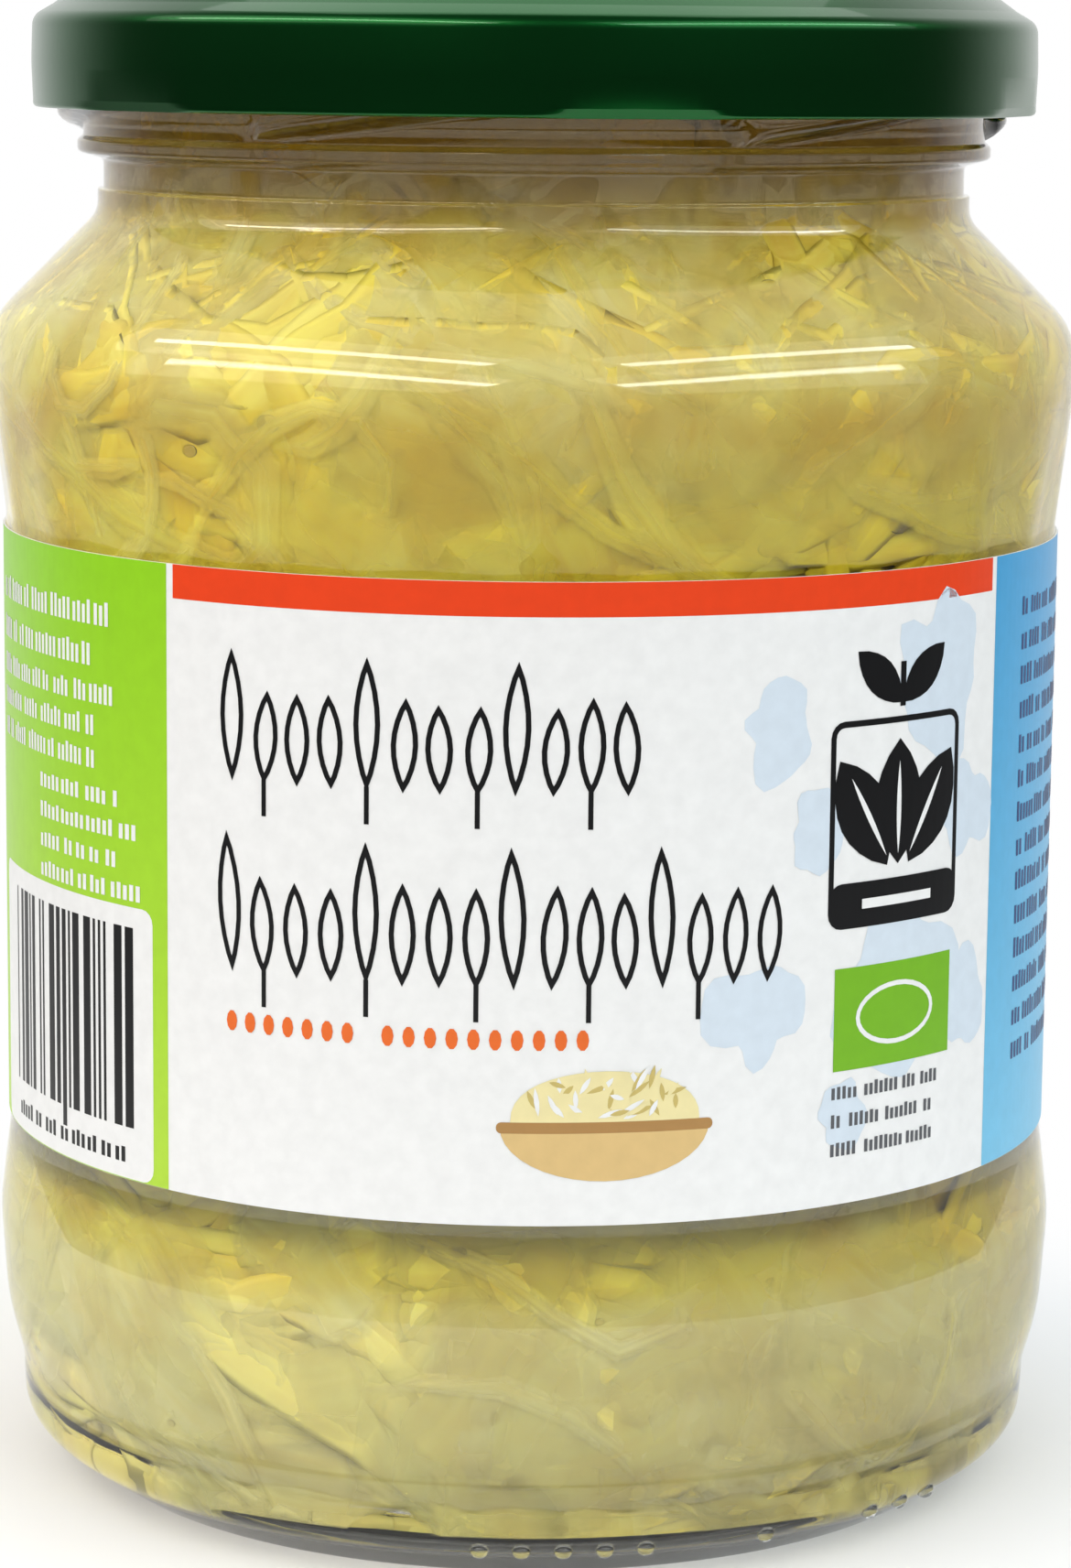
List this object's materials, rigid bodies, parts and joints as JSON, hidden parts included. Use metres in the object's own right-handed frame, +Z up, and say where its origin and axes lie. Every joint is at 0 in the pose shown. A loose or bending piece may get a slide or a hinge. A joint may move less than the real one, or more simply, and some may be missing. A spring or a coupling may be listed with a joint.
{
  "type": "sauerkraut jar",
  "caption": "Glass preserving jar packed with pale sauerkraut, closed by a green twist-off lid and wrapped in a printed paper label.",
  "frame": {"origin": "middle of the jar's standing ring, on the surface it stands on", "axes": "+Z up along the jar's axis, -Y towards the front of the label, +X to the right as seen from the front"},
  "size_m": [0.0934, 0.0934, 0.1276],
  "materials": {
    "glass": "clear and glossy",
    "lid_lacquer": "glossy lacquer on tinplate",
    "label_paper": "smooth coated paper, half matt",
    "cabbage": "wet, slightly see-through shreds"
  },
  "bodies": {
    "root": {"glass_jar": "glass", "lid": "lid_lacquer", "label": "label_paper", "sauerkraut": "cabbage"}
  },
  "joints": []
}
